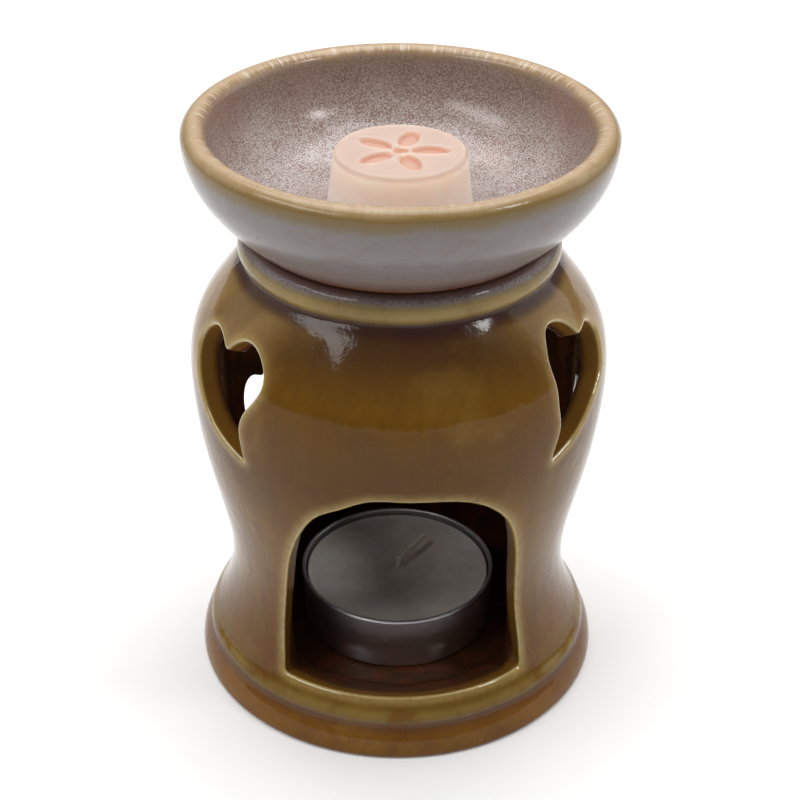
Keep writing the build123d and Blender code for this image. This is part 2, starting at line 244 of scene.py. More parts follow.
class MeltSettings(bpy.types.PropertyGroup):
    """Sizes and colours of the wax melt."""

    base_radius: length("Base radius", "Radius at the base", 13.0 * MM)
    top_radius: length("Top radius", "Radius at the top", 11.6 * MM)
    edge_ease: length("Edge ease", "How far the top and base edges are eased", 0.6 * MM)
    petals: IntProperty(name="Petals", description="Petals of the pressed rosette", default=5, min=3)
    petal_length: length("Petal length", "Length of a petal", 6.4 * MM)
    petal_width: length("Petal width", "Width of a petal", 3.4 * MM)
    petal_distance: length("Petal distance", "Distance of the petals from the middle", 5.2 * MM)
    petal_depth: length("Petal depth", "Depth of the rosette", 0.8 * MM)
    bud_radius: length("Bud radius", "Radius of the rosette's middle", 1.3 * MM)
    steps: IntProperty(name="Steps", description="Steps round the melt", default=200, min=24)
    press_ease: length("Press ease", "Half the width of the eased edge of the rosette", 0.35 * MM)
    peach: colour("Peach", "Colour of the wax", (0.90, 0.76, 0.67))
    bloom: colour("Bloom", "Paler bloom on the wax", (0.92, 0.80, 0.72))
    # Painted shade: the top face is given a darker colour than the sides.
    face: colour("Face", "Pinker wax on the top face", (0.465, 0.335, 0.275))
    pressed: colour("Pressed", "Warmer wax where it is pressed in", (0.56, 0.285, 0.190))


class StageSettings(bpy.types.PropertyGroup):
    """Floor, lamps and camera."""

    floor_size: length("Floor size", "Side of the floor", 6.0)
    camera_distance: length("Camera distance", "Distance of the camera from the axis", 283.7 * MM)
    camera_height: length("Camera height", "Height of the camera", 230.06 * MM)
    camera_pitch: FloatProperty(name="Pitch", description="Downward tilt", default=0.555, subtype="ANGLE")
    camera_turn: angle("Turn", "Turn of the camera round the axis", -1.65)
    camera_roll: angle("Roll", "Roll of the camera", 0.45)
    lens: FloatProperty(name="Lens", description="Focal length in millimetres", default=79.92)
    shift: FloatProperty(name="Shift", description="Sideways shift of the picture", default=0.0019)
    sheet: colour("Sheet", "Colour of the white sheet", (0.93, 0.93, 0.93))
    sheet_glow: FloatProperty(name="Sheet glow", description="How much whiter the sheet looks", default=0.07)
    glow_start: length("Glow start", "Distance at which the sheet starts to fade to plain white", 0.30)
    glow_end: length("Glow end", "Distance at which the sheet is plain white", 1.40)
    room: colour("Room", "Light of the room all round", (0.20, 0.20, 0.20))
    top_power: FloatProperty(name="Top power", description="Watts of the lamp overhead", default=9.3)
    left_power: FloatProperty(name="Left power", description="Watts of the lamp on the left", default=2.2)
    right_power: FloatProperty(name="Right power", description="Watts of the lamp on the right", default=1.1)
    wall_power: FloatProperty(name="Wall power", description="Watts of the right wall", default=1.8)


def part_way(start, end, shares):
    """A point between two outline points, by its share of the radius and of the height."""
    return tuple(a + (b - a) * share for a, b, share in zip(start, end, shares))


def unit(vectors):
    """Vectors scaled to a length of one."""
    vectors = np.asarray(vectors, float)
    return vectors / np.linalg.norm(vectors, axis=-1, keepdims=True)


def spline(points, first, last, count):
    """Points on a smooth curve through the given ones that leaves and arrives in two directions."""
    points = np.array(points, float)
    spans = np.linalg.norm(np.diff(points, axis=0), axis=1)
    knots = np.concatenate([[0], np.cumsum(spans)])
    system = np.eye(len(points))
    slopes = np.zeros_like(points)
    slopes[0], slopes[-1] = unit(first), unit(last)
    for k in range(1, len(points) - 1):
        before, after = spans[k - 1], spans[k]
        system[k, k - 1:k + 2] = after, 2 * (before + after), before
        rise = after / before * (points[k] - points[k - 1]) + before / after * (points[k + 1] - points[k])
        slopes[k] = 3 * rise
    slopes = np.linalg.solve(system, slopes)
    places = np.linspace(0, knots[-1], count)
    k = np.clip(np.searchsorted(knots, places, side="right") - 1, 0, len(spans) - 1)
    span = spans[k, None]
    t = (places - knots[k])[:, None] / span
    return (
        (2 * t**3 - 3 * t**2 + 1) * points[k] + (t**3 - 2 * t**2 + t) * span * slopes[k]
        + (3 * t**2 - 2 * t**3) * points[k + 1] + (t**3 - t**2) * span * slopes[k + 1]
    )


def arc(start, middle, end, count):
    """Points on the circle through three points."""
    a, b, c = (complex(*point) for point in (start, middle, end))
    w = (c - a) / (b - a)
    centre = a + (b - a) * (w - abs(w) ** 2) / (2j * w.imag)
    sweep = np.angle((c - centre) / (a - centre)) % TURN
    if np.angle((b - centre) / (a - centre)) % TURN > sweep:
        sweep -= TURN
    turned_points = centre + (a - centre) * np.exp(1j * np.linspace(0, sweep, count))
    return np.column_stack([turned_points.real, turned_points.imag])


def run_lengths(points):
    """The length of a line up to each of its points."""
    return np.concatenate([[0], np.cumsum(np.linalg.norm(np.diff(points, axis=0), axis=1))])


def evened(points, count):
    """The same line with so many points, evenly apart."""
    points = np.asarray(points, float)
    runs = run_lengths(points)
    places = np.linspace(0, runs[-1], count)
    return np.column_stack([np.interp(places, runs, column) for column in points.T])


def softened(points, reach, closed=False):
    """The same line with its corners eased over a reach."""
    spread = 5
    line = evened(points, int(run_lengths(points)[-1] / reach * spread) + 2)
    weights = np.exp(-0.5 * (np.arange(-3 * spread, 3 * spread + 1) / spread) ** 2)
    weights /= weights.sum()
    margin = ((3 * spread, 3 * spread), (0, 0))
    if closed:
        line = np.pad(line[:-1], margin, mode="wrap")
    else:
        line = np.pad(line, margin, mode="reflect", reflect_type="odd")
    return np.column_stack([np.convolve(column, weights, mode="valid") for column in line.T])


def rows(points, step, turn):
    """Fewer points on the same line, one for each step of its length and each turn of its direction."""
    edges = np.diff(points, axis=0)
    headings = np.unwrap(np.arctan2(edges[:, 1], edges[:, 0]))
    bends = np.abs(np.diff(headings, prepend=headings[0]))
    weights = np.linalg.norm(edges, axis=1) / step + bends / turn
    runs = np.concatenate([[0], np.cumsum(weights)])
    places = np.linspace(0, runs[-1], int(np.ceil(runs[-1])) + 1)
    return np.column_stack([np.interp(places, runs, column) for column in points.T])


def start_mesh(name, add, **options):
    """Adds a primitive by itself, named and the only thing selected."""
    bpy.ops.object.select_all(action="DESELECT")
    add(**options)
    piece = bpy.context.object
    piece.name = name
    piece.data.name = name
    return piece


def tidy_mesh():
    """Closes seams and poles and points the faces outwards, in edit mode."""
    bpy.ops.mesh.select_all(action="SELECT")
    bpy.ops.mesh.remove_doubles(threshold=0.001 * MM)
    bpy.ops.mesh.delete_loose(use_verts=True, use_edges=True, use_faces=False)
    bpy.ops.mesh.select_all(action="SELECT")
    bpy.ops.mesh.normals_make_consistent(inside=False)


def turned(name, outline, steps, middle=(0, 0)):
    """A piece spun about an upright axis from its closed outline, as on a wheel."""
    piece = start_mesh(name, bpy.ops.mesh.primitive_circle_add, vertices=len(outline), radius=MM)
    for vertex, (radius, height) in zip(piece.data.vertices, outline):
        vertex.co = (middle[0] + radius, middle[1], height)
    bpy.ops.object.mode_set(mode="EDIT")
    bpy.ops.mesh.select_all(action="SELECT")
    bpy.ops.mesh.spin(steps=steps, angle=TURN, center=(*middle, 0), axis=(0, 0, 1), use_auto_merge=True)
    tidy_mesh()
    bpy.ops.object.mode_set(mode="OBJECT")
    return piece


def finish_piece(piece, body, node, material):
    """Smooths a piece, gives it its finish and lets it stand for its CAD node."""
    bpy.ops.object.select_all(action="DESELECT")
    piece.select_set(True)
    bpy.context.view_layer.objects.active = piece
    bpy.ops.object.shade_smooth_by_angle(angle=math.radians(40))
    piece.data.materials.clear()
    piece.data.materials.append(material)
    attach(piece, body)
    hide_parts(node)


def paint(piece, name, values):
    """Keeps a value for each vertex, for the finish to read."""
    attribute = piece.data.attributes.new(name, "FLOAT", "POINT")
    attribute.data.foreach_set("value", np.asarray(values, np.float32))


def vertex_places(piece):
    """The places of a piece's vertices as an array."""
    places = np.zeros(len(piece.data.vertices) * 3)
    piece.data.vertices.foreach_get("co", places)
    return places.reshape(-1, 3)


class Finish:
    """A material under construction, with short calls that add its nodes."""

    def __init__(self, name):
        self.material = bpy.data.materials.new(name)
        self.material.use_nodes = True
        self.tree = self.material.node_tree
        self.shader = self.tree.nodes["Principled BSDF"]
        self.place = self.node("ShaderNodeTexCoord").outputs["Object"]

    def node(self, kind, **settings):
        """Adds a node with its settings."""
        made = self.tree.nodes.new(kind)
        for key, value in settings.items():
            setattr(made, key, value)
        return made

    def feed(self, socket, value):
        """Links a socket to an output, or sets it to a value."""
        if isinstance(value, bpy.types.NodeSocket):
            self.tree.links.new(value, socket)
        elif isinstance(value, (tuple, list)) and socket.type == "RGBA":
            socket.default_value = (*value[:3], 1)
        else:
            socket.default_value = value

    def set(self, **values):
        """Sets or links sockets of the shader, named with underscores for spaces."""
        for key, value in values.items():
            self.feed(self.shader.inputs[key.replace("_", " ")], value)

    def stretched(self, x, y, z):
        """The place with each direction scaled, for patterns that run one way."""
        made = self.node("ShaderNodeMapping", vector_type="POINT")
        self.feed(made.inputs["Vector"], self.place)
        made.inputs["Scale"].default_value = (x, y, z)
        return made.outputs["Vector"]

    def round_axis(self, radius):
        """The place moved along its radius to a circle round the axis, for patterns that run down a wall."""
        flat = self.stretched(1, 1, 0)
        made = self.node("ShaderNodeVectorMath", operation="NORMALIZE")
        self.feed(made.inputs[0], flat)
        scaled = self.node("ShaderNodeVectorMath", operation="SCALE")
        self.feed(scaled.inputs[0], made.outputs["Vector"])
        scaled.inputs["Scale"].default_value = radius
        return scaled.outputs["Vector"]

    def noise(self, grain, detail=3.0, roughness=0.5, distortion=0.0, place=None):
        """Cloudy noise whose features are about one grain across."""
        made = self.node("ShaderNodeTexNoise")
        self.feed(made.inputs["Vector"], place or self.place)
        settings = {"Scale": 1 / grain, "Detail": detail, "Roughness": roughness, "Distortion": distortion}
        for key, value in settings.items():
            made.inputs[key].default_value = value
        return made.outputs[0]

    def cells(self, grain, feature="F1", place=None):
        """Distance to the nearest of many scattered points, about one grain apart."""
        made = self.node("ShaderNodeTexVoronoi", feature=feature)
        self.feed(made.inputs["Vector"], place or self.place)
        made.inputs["Scale"].default_value = 1 / grain
        return made.outputs["Distance"]

    def value(self, name):
        """A value painted on the piece's vertices."""
        return self.node("ShaderNodeAttribute", attribute_name=name).outputs["Fac"]

    def height(self):
        """The height above the table."""
        made = self.node("ShaderNodeSeparateXYZ")
        self.feed(made.inputs[0], self.place)
        return made.outputs["Z"]

    def sum(self, operation, first, second, clamp=False):
        """One arithmetic step."""
        made = self.node("ShaderNodeMath", operation=operation, use_clamp=clamp)
        self.feed(made.inputs[0], first)
        self.feed(made.inputs[1], second)
        return made.outputs[0]

    def span(self, value, low, high, to_low=0.0, to_high=1.0, smooth=True):
        """A value spread from one range to another and held there."""
        made = self.node("ShaderNodeMapRange", interpolation_type="SMOOTHSTEP" if smooth else "LINEAR")
        self.feed(made.inputs["Value"], value)
        for key, number in (("From Min", low), ("From Max", high), ("To Min", to_low), ("To Max", to_high)):
            made.inputs[key].default_value = number
        return made.outputs["Result"]

    def ramp(self, value, stops):
        """A colour read from a row of stops."""
        made = self.node("ShaderNodeValToRGB")
        self.feed(made.inputs[0], value)
        elements = made.color_ramp.elements
        while len(elements) < len(stops):
            elements.new(0.5)
        for element, (place, tone) in zip(elements, stops):
            element.position = place
            element.color = (*tone, 1)
        return made.outputs["Color"]

    def mix(self, share, first, second, blend="MIX"):
        """Two colours mixed by a share."""
        made = self.node("ShaderNodeMix", data_type="RGBA", blend_type=blend)
        self.feed(made.inputs["Factor"], share)
        self.feed(made.inputs[6], first)
        self.feed(made.inputs[7], second)
        return made.outputs[2]

    def bump(self, height, depth, strength=1.0, below=None):
        """A relief of a given depth, over another one."""
        made = self.node("ShaderNodeBump")
        self.feed(made.inputs["Height"], height)
        made.inputs["Distance"].default_value = depth
        made.inputs["Strength"].default_value = strength
        if below is not None:
            self.feed(made.inputs["Normal"], below)
        return made.outputs["Normal"]


def body_points(s):
    """The points that the stand's outer curve runs through."""
    foot = (s.foot_radius - s.crease_depth - s.roll_inset, s.foot_band_height + s.roll_rise)
    waist = (s.waist_radius, s.waist_height)
    belly = (s.belly_radius, s.belly_height)
    neck = (s.neck_radius, s.neck_height)
    return [
        foot,
        part_way(foot, waist, COVE_SHARES),
        waist,
        part_way(waist, belly, LOW_RISE_SHARES),
        part_way(waist, belly, HIGH_RISE_SHARES),
        belly,
        part_way(belly, neck, SHOULDER_SHARES),
        part_way(belly, neck, SLOPE_SHARES),
        part_way(belly, neck, NECK_SLOPE_SHARES),
        neck,
    ]


def stand_outside(s):
    """The stand's outer line from the recess under the foot up to the seat, with its creases eased."""
    seat = (s.neck_radius - s.seat_inset, STAND_HIGH[2])
    foot_ring = (s.foot_radius - s.foot_edge_round, 0)
    foot_edge = (s.foot_radius, s.foot_edge_round)
    edge_middle = (
        s.foot_radius - s.foot_edge_round * (1 - math.sqrt(0.5)),
        s.foot_edge_round * (1 - math.sqrt(0.5)),
    )
    crease = (s.foot_radius - s.crease_depth, s.foot_band_height)
    band_middle = (s.foot_radius - s.crease_depth / 4, (s.foot_edge_round + s.foot_band_height) / 2)
    roll_middle = (crease[0] + s.roll_bulge, s.foot_band_height + s.roll_rise / 3)
    points = body_points(s)
    bead_middle = (s.neck_radius + s.bead_bulge, (s.neck_height + STAND_HIGH[2]) / 2)
    body = np.concatenate([
        arc(foot_edge, band_middle, crease, 20),
        arc(crease, roll_middle, points[0], 24),
        spline(points, FOOT_DIRECTION, NECK_DIRECTION, 600),
    ])
    line = np.concatenate([
        [(s.recess_radius, 0)],
        arc(foot_ring, edge_middle, foot_edge, 16),
        softened(body, s.crease_ease),
        arc(points[-1], bead_middle, seat, 40),
    ])
    return softened(line, 0.4 * MM)


def chamber_wall(s):
    """The chamber's line from the edge of its floor up to the neck, one wall inside the body."""
    points = body_points(s)
    outer = spline(points, FOOT_DIRECTION, NECK_DIRECTION, 1200)
    along = unit(np.gradient(outer, axis=0))
    inner = [(s.floor_radius, CUP_LOW[2])]
    for point in points[2:]:
        k = np.argmin(np.linalg.norm(outer - point, axis=1))
        inner.append((point[0] - along[k, 1] * s.wall, point[1] + along[k, 0] * s.wall))
    return spline(inner, (1, 0), NECK_DIRECTION, 400)


def stand_outline(s):
    """The whole section of the stand, as one closed line of rows."""
    outside = stand_outside(s)
    chamber = chamber_wall(s)
    inside = np.concatenate([
        [outside[-1], (s.bore_radius, STAND_HIGH[2]), (s.bore_radius, STAND_HIGH[2] - s.bore_length)],
        chamber[::-1],
        [(0, CUP_LOW[2])],
    ])
    underside = [
        (0, s.recess_depth),
        (s.recess_radius - s.recess_ease, s.recess_depth),
        (s.recess_radius, s.recess_ease),
    ]
    return np.concatenate([
        rows(outside, 0.9 * MM, math.radians(9)),
        rows(softened(inside, 0.4 * MM), 2.0 * MM, math.radians(15))[1:],
        underside,
    ])


def meets(aim, through, radius_at):
    """Where lines from an aim point on the axis through some points meet a turned surface."""
    near = np.full(len(through), 0.3)
    far = np.full(len(through), 1.6)
    for _ in range(40):
        middle = (near + far) / 2
        place = aim + (through - aim) * middle[:, None]
        outside = np.hypot(place[:, 0], place[:, 1]) > radius_at(place[:, 2])
        far = np.where(outside, middle, far)
        near = np.where(outside, near, middle)
    return aim + (through - aim) * far[:, None]


def closed_line(points, reach, count):
    """A closed line with its corners eased and its points spread evenly."""
    line = softened(np.concatenate([points, points[:1]]), reach, closed=True)
    return evened(np.concatenate([line, line[:1]]), count + 1)[:-1]


def heart_line(s, shares, lean):
    """A hand-cut heart round its own middle, smooth but for its tip and notch."""
    points = np.array(shares) * (s.heart_width / 2, s.heart_height / 2)
    tip = int(np.argmin(points[:, 1]))
    sides = [points[:tip + 1], points[tip:]]
    line = np.concatenate([spline(side, side[1] - side[0], side[-1] - side[-2], 120)[:-1] for side in sides])
    line = closed_line(line, 0.5 * MM, 128)
    turn = np.array([[math.cos(lean), -math.sin(lean)], [math.sin(lean), math.cos(lean)]])
    return line @ turn


def heart_cut(s, line, turn, height, aim_drop, radius_at):
    """One heart's edge where it meets a turned surface, cut towards the axis."""
    outwards = np.array([math.sin(turn), -math.cos(turn), 0])
    backwards = np.array([math.cos(turn), math.sin(turn), 0])
    centre = outwards * s.belly_radius + (0, 0, height)
    aim = np.array([0, 0, height - aim_drop])
    upwards = np.cross(unit(centre - aim), backwards)
    through = centre + line[:, :1] * backwards + line[:, 1:] * upwards
    return meets(aim, through, radius_at)


def arch_cut(s, outer_radius_at, radius_at):
    """The mouth's edge where it meets a turned surface: sides and crown, then the sill."""
    sill_radius = s.sill_radius
    for _ in range(30):
        sill = s.sill_height - (s.sill_radius - sill_radius) * s.sill_slope
        sill_radius = float(radius_at(sill))
    shares = spline(ARCH_SHARES, (0, 1), (0, -1), 300)
    along_sill = np.linspace(shares[-1, 0], shares[0, 0], 90)[1:-1]
    across = np.concatenate([shares[:, 0], along_sill]) * s.arch_half_width
    up = np.concatenate([shares[:, 1], np.zeros(len(along_sill))])
    outer_height = s.sill_height + (s.arch_crown_height - s.sill_height) * up
    outer_front = np.sqrt(outer_radius_at(outer_height) ** 2 - across**2)
    slopes = across / (outer_front + s.arch_setback)
    height = sill + (s.arch_crown_height - sill) * up
    back, radii = s.arch_setback, radius_at(height)
    square = (1 + slopes**2) * (slopes**2 * back**2 - radii**2)
    front = (-slopes**2 * back + np.sqrt(slopes**4 * back**2 - square)) / (1 + slopes**2)
    return closed_line(np.column_stack([slopes * (back + front), -front, height]), 0.6 * MM, 300)


def surface_normals(places, radius_at):
    """Outward directions of a turned surface at places on it."""
    small = 0.2 * MM
    slope = (radius_at(places[:, 2] + small) - radius_at(places[:, 2] - small)) / (2 * small)
    rounds = unit(places[:, :2])
    return unit(np.column_stack([rounds, -slope]))


def away_from_middle(loop, normals):
    """Directions along the surface that point out of a cut."""
    along = unit(np.roll(loop, -1, axis=0) - np.roll(loop, 1, axis=0))
    outwards = unit(np.cross(normals, along))
    if ((loop - loop.mean(axis=0)) * outwards).sum() < 0:
        outwards = -outwards
    return outwards


def cutter_rings(outer, inner, outer_radius_at, inner_radius_at, rounding):
    """Rings of a cutter that eases the outer and inner edges of its cut, and the glaze's thinness on each."""
    inner_rounding = rounding / 2
    outer_normals = surface_normals(outer, outer_radius_at)
    inner_normals = surface_normals(inner, inner_radius_at)
    outer_away = away_from_middle(outer, outer_normals)
    outer = outer - outer_away * (rounding * 0.3)
    inner_away = away_from_middle(inner, inner_normals)
    inwards = unit(inner - outer)
    rise = outer + outer_away * (rounding * 1.3) + outer_normals * 1.5 * MM
    rings = [rise - inwards * 16 * MM, rise]
    thinness = [0.0, 0.0]
    for degrees, thin in EASED_EDGE:
        turn = math.radians(degrees)
        aside, deep = rounding * (1 - math.sin(turn)), rounding * (1 - math.cos(turn))
        rings.append(outer + outer_away * aside + inwards * deep)
        thinness.append(thin)
    first, last = rings[-1], inner - inwards * inner_rounding
    for share in (0.25, 0.5, 0.75):
        rings.append(first + (last - first) * share)
        thinness.append(0.0)
    for degrees in INNER_EASED_EDGE:
        turn = math.radians(degrees)
        aside, deep = inner_rounding * (1 - math.sin(turn)), inner_rounding * (1 - math.cos(turn))
        rings.append(inner + inner_away * aside - inwards * deep)
        thinness.append(0.0)
    rings.append(inner + inner_away * (inner_rounding * 1.3) - inner_normals * 1.5 * MM)
    thinness.append(0.0)
    return np.array(rings), np.array(thinness)


def skinned(name, rings):
    """A closed piece skinned over its rings."""
    count = rings.shape[1]
    piece = start_mesh(
        name, bpy.ops.mesh.primitive_grid_add, x_subdivisions=count, y_subdivisions=len(rings) - 1, size=MM
    )
    places = np.concatenate([rings, rings[:, :1]], axis=1)
    piece.data.vertices.foreach_set("co", places.reshape(-1))
    bpy.ops.object.mode_set(mode="EDIT")
    bpy.ops.mesh.select_all(action="SELECT")
    bpy.ops.mesh.remove_doubles(threshold=0.001 * MM)
    bpy.ops.mesh.select_all(action="SELECT")
    bpy.ops.mesh.fill_holes(sides=0)
    tidy_mesh()
    bpy.ops.object.mode_set(mode="OBJECT")
    return piece


def cut_away(piece, tool):
    """Cuts a tool out of a piece and deletes the tool."""
    bpy.context.view_layer.objects.active = piece
    cut = piece.modifiers.new("Cut", "BOOLEAN")
    cut.operation = "DIFFERENCE"
    cut.solver = "MANIFOLD"
    cut.object = tool
    bpy.ops.object.modifier_apply(modifier=cut.name)
    bpy.data.objects.remove(tool)


def stand_cuts(s, outer_radius_at, inner_radius_at):
    """The rings and thinness of the mouth's cutter and of the four hearts' cutters."""
    surfaces = (outer_radius_at, inner_radius_at)
    cuts = [[arch_cut(s, outer_radius_at, surface) for surface in surfaces]]
    front = (s.front_heart_angle, s.front_heart_height, s.front_heart_aim_drop)
    rear = (s.rear_heart_angle, s.rear_heart_height, 0)
    hearts = [
        (RIGHT_HEART_SHARES, 0, front, 1),
        (LEFT_HEART_SHARES, 0, front, -1),
        (REAR_HEART_SHARES, s.rear_heart_lean, rear, 1),
        (REAR_HEART_SHARES, s.rear_heart_lean, rear, -1),
    ]
    for shares, lean, place, side in hearts:
        line = heart_line(s, shares, lean)
        cuts.append([heart_cut(s, line, *place, surface) * (side, 1, 1) for surface in surfaces])
    return [cutter_rings(*cut, outer_radius_at, inner_radius_at, s.edge_round) for cut in cuts]


def point_tree(places):
    """A tree for finding the nearest of many places."""
    tree = KDTree(len(places))
    for k, place in enumerate(places):
        tree.insert(place, k)
    tree.balance()
    return tree


def paint_glaze(stand, cuts, outer_radius_at, s):
    """Marks where the glaze thins on and past a cut's edge, and how deep each vertex lies in the wall."""
    tree = point_tree(np.concatenate([rings.reshape(-1, 3) for rings, _ in cuts]))
    thinness = np.concatenate([np.repeat(thin, rings.shape[1]) for rings, thin in cuts])
    edges = point_tree(np.concatenate([rings[2] for rings, _ in cuts]))
    places = vertex_places(stand)
    depth = (outer_radius_at(places[:, 2]) - np.hypot(places[:, 0], places[:, 1])) / s.wall
    breaks = np.zeros(len(places))
    for k, place in enumerate(places):
        _, index, distance = tree.find(place)
        if distance < 0.25 * MM:
            breaks[k] = thinness[index]
        if depth[k] < 0.1:
            past = edges.find(place)[2] / s.break_reach
            breaks[k] = max(breaks[k], 0.5 * math.exp(-past * past))
    paint(stand, "glaze_break", breaks)
    paint(stand, "wall_depth", np.clip(depth, 0, 1))


# Colours of the amber glaze up the stand, by height in millimetres
AMBER_BANDS = [
    (0.0, (0.210, 0.084, 0.009)),
    (2.6, (0.225, 0.100, 0.010)),
    (4.4, (0.210, 0.086, 0.011)),
    (5.7, (0.150, 0.064, 0.020)),
    (6.5, (0.120, 0.062, 0.034)),
    (7.2, (0.215, 0.138, 0.050)),
    (8.1, (0.245, 0.158, 0.038)),
    (9.2, (0.162, 0.086, 0.010)),
    (10.8, (0.175, 0.084, 0.010)),
    (12.5, (0.168, 0.072, 0.011)),
    (18.0, (0.182, 0.086, 0.013)),
    (30.0, (0.188, 0.091, 0.011)),
    (46.0, (0.180, 0.084, 0.009)),
    (58.0, (0.128, 0.054, 0.002)),
    (70.0, (0.146, 0.062, 0.002)),
    (78.0, (0.190, 0.088, 0.008)),
    (83.2, (0.205, 0.104, 0.016)),
    (84.6, (0.085, 0.040, 0.026)),
    (85.4, (0.080, 0.046, 0.044)),
    (86.0, (0.130, 0.085, 0.060)),
    (86.6, (0.290, 0.195, 0.075)),
    (87.6, (0.345, 0.240, 0.080)),
    (89.1, (0.305, 0.220, 0.080)),
    (89.7, (0.265, 0.215, 0.160)),
    (90.2, (0.285, 0.255, 0.270)),
    (90.5, (0.235, 0.195, 0.210)),
    (90.8, (0.160, 0.100, 0.090)),
]


def amber_glaze(s):
    """Glossy amber glaze: dark where it pools in creases, olive where it breaks over edges and rolls, with
    painted shade under the dish and inside the chamber, and painted light on the shoulder's sides.
    """
    finish = Finish("amber_glaze")
    top = STAND_HIGH[2]
    parts = finish.node("ShaderNodeSeparateXYZ")
    finish.feed(parts.inputs[0], finish.place)
    height = parts.outputs["Z"]
    body = finish.sum("MULTIPLY", finish.span(height, 9 * MM, 16 * MM), finish.span(height, 83 * MM, 78 * MM))
    drift = finish.noise(11 * MM, detail=4, roughness=0.6)
    wander = finish.span(drift, 0.25, 0.75, -0.011, 0.011, smooth=False)
    wander = finish.sum("MULTIPLY", wander, finish.span(body, 0.0, 1.0, 0.28, 1.0))
    share = finish.sum("ADD", finish.sum("DIVIDE", height, top), wander)
    base = finish.ramp(share, [(level * MM / top, tone) for level, tone in AMBER_BANDS])
    # Painted shade: in front, from the shoulder up to the neck bead, the glaze is darkened to maroon as the
    # shade under the dish.
    front = finish.span(parts.outputs["Y"], -18 * MM, -30 * MM)
    neck = finish.sum("MULTIPLY", finish.span(share, 0.80, 0.925), finish.span(share, 0.946, 0.934))
    pooled = finish.sum("MULTIPLY", finish.sum("MULTIPLY", front, neck), 0.78)
    base = finish.mix(pooled, base, tuple(s.painted_shade_maroon))
    # Painted light: the shoulder's sides and back are made paler, as light from the sides.
    painted_light_flank = finish.sum("MULTIPLY", finish.sum("SUBTRACT", 1.0, front), finish.span(height, 58 * MM, 72 * MM))
    painted_light_flank = finish.sum("MULTIPLY", painted_light_flank, finish.span(height, 84.4 * MM, 83 * MM))
    base = finish.mix(finish.sum("MULTIPLY", painted_light_flank, 0.75), base, tuple(s.painted_light_flank))
    runs = finish.noise(2.6 * MM, detail=5, roughness=0.62, place=finish.stretched(1, 1, 0.14))
    cloud = finish.noise(15 * MM, detail=5, roughness=0.58, distortion=0.4)
    streaks = finish.sum("MULTIPLY", finish.span(runs, 0.35, 0.72, 0.0, 0.26), body)
    base = finish.mix(streaks, base, tuple(s.deep))
    base = finish.mix(finish.span(cloud, 0.46, 0.68, 0.0, 0.34), base, tuple(s.deep))
    base = finish.mix(finish.span(cloud, 0.46, 0.28, 0.0, 0.28), base, tuple(s.honey))
    flecks = finish.span(finish.noise(0.34 * MM, detail=2, roughness=0.6), 0.46, 0.60, 0.0, 0.75)
    rim = finish.sum("MULTIPLY", finish.span(share, 0.983, 0.990), flecks)
    base = finish.mix(rim, base, tuple(s.crust))
    rust = finish.span(finish.noise(5.5 * MM, detail=5, roughness=0.66), 0.46, 0.66, 0.0, 0.55)
    low = finish.span(height, 34 * MM, 14 * MM)
    base = finish.mix(finish.sum("MULTIPLY", rust, low), base, tuple(s.rust))
    depth = finish.value("wall_depth")
    pools = finish.span(finish.noise(5 * MM, detail=4), 0.40, 0.66)
    inside = finish.mix(pools, tuple(s.inside), tuple(s.pooled))
    base = finish.mix(finish.span(depth, 0.06, 0.24, 0.0, 0.75), base, tuple(s.cut_face))
    # Painted shade: deep in the wall, inside the chamber, the amber gives way to a darkened tone with reddish
    # pools.
    base = finish.mix(finish.span(depth, 0.62, 0.98), base, inside)
    edge = finish.value("glaze_break")
    grain = finish.span(finish.noise(1.3 * MM, detail=4), 0.2, 0.6, 0.62, 1.0)
    base = finish.mix(finish.sum("MULTIPLY", edge, grain), base, tuple(s.olive))
    fine = finish.span(finish.noise(0.45 * MM, detail=2), 0.30, 0.72, 0.94, 1.06, smooth=False)
    base = finish.mix(1.0, base, fine, blend="MULTIPLY")
    dots = finish.span(finish.cells(9.0 * MM), 0.022, 0.045, 0.6, 0.0)
    base = finish.mix(dots, base, tuple(s.crevice))
    finish.set(Base_Color=base, Specular_IOR_Level=0.21)
    finish.set(Coat_Weight=finish.span(edge, 0.3, 0.9), Coat_Roughness=0.05, Coat_IOR=1.6)
    dull = finish.span(height, 62 * MM, 74 * MM, 0.0, 0.045)
    finish.set(Roughness=finish.sum("ADD", finish.span(cloud, 0.3, 0.7, 0.04, 0.10), dull))
    relief = finish.bump(finish.noise(8 * MM, detail=2), 0.30 * MM, 0.35)
    ripples = finish.noise(2.4 * MM, detail=3, place=finish.stretched(1, 1, 0.7))
    relief = finish.bump(ripples, 0.13 * MM, 0.6, below=relief)
    relief = finish.bump(finish.noise(1.2 * MM, detail=2), 0.02 * MM, 0.5, below=relief)
    finish.set(Normal=finish.bump(dots, 0.08 * MM, -0.6, below=relief))
    return finish.material


class OBJECT_OT_burner_stand(bpy.types.Operator):
    """Spins the stand, cuts its mouth and hearts and glazes it"""

    bl_idname = "object.burner_stand_add"
    bl_label = "Stand"

    def execute(self, context):
        s = context.scene.burner_stand
        outside, chamber = stand_outside(s), chamber_wall(s)

        def outer_radius_at(height):
            return np.interp(height, outside[:, 1], outside[:, 0])

        def inner_radius_at(height):
            return np.interp(height, chamber[:, 1], chamber[:, 0])

        stand = turned("stand", stand_outline(s), s.steps)
        cuts = stand_cuts(s, outer_radius_at, inner_radius_at)
        for k, (rings, _) in enumerate(cuts):
            cut_away(stand, skinned(f"cutter_{k}", rings))
        paint_glaze(stand, cuts, outer_radius_at, s)
        finish_piece(stand, "stand", "burner_stand", amber_glaze(s))
        return {"FINISHED"}


